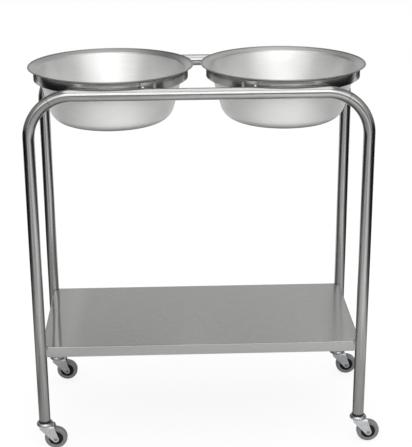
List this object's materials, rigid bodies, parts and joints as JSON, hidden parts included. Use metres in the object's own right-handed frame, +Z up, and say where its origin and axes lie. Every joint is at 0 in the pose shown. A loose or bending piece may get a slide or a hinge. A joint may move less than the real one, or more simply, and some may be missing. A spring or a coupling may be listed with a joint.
{
  "type": "double basin stand",
  "caption": "Tube-frame stand on swivel casters, with lift-out round basins hung side by side in rings above a flat lower shelf.",
  "frame": {"origin": "on the floor under the middle of the stand's outline, with the casters trailing to +X", "axes": "+Z up, +X along the rails to the viewer's right, +Y from the front frame to the rear frame"},
  "size_m": [0.7768, 0.378, 0.8433],
  "materials": {
    "frame_steel": "satin polished stainless",
    "shelf_steel": "brushed stainless sheet",
    "ring_steel": "polished stainless bar",
    "rivet_steel": "polished",
    "basin_steel": "satin spun stainless",
    "socket_nylon": "black nylon",
    "stem_steel": "zinc plated",
    "cap_zinc": "bright zinc plated",
    "ball_steel": "ground",
    "fork_zinc": "zinc plated",
    "axle_steel": "zinc plated",
    "nut_steel": "zinc plated",
    "sleeve_steel": "plain steel",
    "hub_plastic": "black moulded",
    "tyre_rubber": "grey rubber"
  },
  "bodies": {
    "frame": {"front_frame_tube": "frame_steel", "rear_frame_tube": "frame_steel", "lower_shelf": "shelf_steel", "left_basin_ring": "ring_steel", "left_ring_rivet": "rivet_steel", "right_basin_ring": "ring_steel", "right_ring_rivet": "rivet_steel", "front_left_leg_socket": "socket_nylon", "front_left_caster_stem": "stem_steel", "front_left_raceway_cap": "cap_zinc", "front_right_leg_socket": "socket_nylon", "front_right_caster_stem": "stem_steel", "front_right_raceway_cap": "cap_zinc", "rear_left_leg_socket": "socket_nylon", "rear_left_caster_stem": "stem_steel", "rear_left_raceway_cap": "cap_zinc", "rear_right_leg_socket": "socket_nylon", "rear_right_caster_stem": "stem_steel", "rear_right_raceway_cap": "cap_zinc"},
    "left_basin": {"left_basin": "basin_steel"},
    "right_basin": {"right_basin": "basin_steel"},
    "front_left_swivel": {"front_left_ball_ring": "ball_steel", "front_left_fork": "fork_zinc", "front_left_axle_bolt": "axle_steel", "front_left_axle_nut": "nut_steel", "front_left_axle_sleeve": "sleeve_steel"},
    "front_left_wheel": {"front_left_wheel_hub": "hub_plastic", "front_left_tyre": "tyre_rubber"},
    "front_right_swivel": {"front_right_ball_ring": "ball_steel", "front_right_fork": "fork_zinc", "front_right_axle_bolt": "axle_steel", "front_right_axle_nut": "nut_steel", "front_right_axle_sleeve": "sleeve_steel"},
    "front_right_wheel": {"front_right_wheel_hub": "hub_plastic", "front_right_tyre": "tyre_rubber"},
    "rear_left_swivel": {"rear_left_ball_ring": "ball_steel", "rear_left_fork": "fork_zinc", "rear_left_axle_bolt": "axle_steel", "rear_left_axle_nut": "nut_steel", "rear_left_axle_sleeve": "sleeve_steel"},
    "rear_left_wheel": {"rear_left_wheel_hub": "hub_plastic", "rear_left_tyre": "tyre_rubber"},
    "rear_right_swivel": {"rear_right_ball_ring": "ball_steel", "rear_right_fork": "fork_zinc", "rear_right_axle_bolt": "axle_steel", "rear_right_axle_nut": "nut_steel", "rear_right_axle_sleeve": "sleeve_steel"},
    "rear_right_wheel": {"rear_right_wheel_hub": "hub_plastic", "rear_right_tyre": "tyre_rubber"}
  },
  "joints": [
    {"name": "left_basin_lift", "type": "slide", "parent": "frame", "child": "left_basin", "axis": [0, 0, 1], "range_m": [0, 0.16]},
    {"name": "right_basin_lift", "type": "slide", "parent": "frame", "child": "right_basin", "axis": [0, 0, 1], "range_m": [0, 0.16]},
    {"name": "front_left_swivel_turn", "type": "hinge", "parent": "frame", "child": "front_left_swivel", "pos_m": [-0.36995, -0.17025, 0.0254], "axis": [0, 0, 1], "continuous": true},
    {"name": "front_left_wheel_roll", "type": "hinge", "parent": "front_left_swivel", "child": "front_left_wheel", "pos_m": [-0.34645, -0.17025, 0.0254], "axis": [0, 1, 0], "continuous": true},
    {"name": "front_right_swivel_turn", "type": "hinge", "parent": "frame", "child": "front_right_swivel", "pos_m": [0.33955, -0.17025, 0.0254], "axis": [0, 0, 1], "continuous": true},
    {"name": "front_right_wheel_roll", "type": "hinge", "parent": "front_right_swivel", "child": "front_right_wheel", "pos_m": [0.36305, -0.17025, 0.0254], "axis": [0, 1, 0], "continuous": true},
    {"name": "rear_left_swivel_turn", "type": "hinge", "parent": "frame", "child": "rear_left_swivel", "pos_m": [-0.36995, 0.17025, 0.0254], "axis": [0, 0, 1], "continuous": true},
    {"name": "rear_left_wheel_roll", "type": "hinge", "parent": "rear_left_swivel", "child": "rear_left_wheel", "pos_m": [-0.34645, 0.17025, 0.0254], "axis": [0, 1, 0], "continuous": true},
    {"name": "rear_right_swivel_turn", "type": "hinge", "parent": "frame", "child": "rear_right_swivel", "pos_m": [0.33955, 0.17025, 0.0254], "axis": [0, 0, 1], "continuous": true},
    {"name": "rear_right_wheel_roll", "type": "hinge", "parent": "rear_right_swivel", "child": "rear_right_wheel", "pos_m": [0.36305, 0.17025, 0.0254], "axis": [0, 1, 0], "continuous": true}
  ]
}
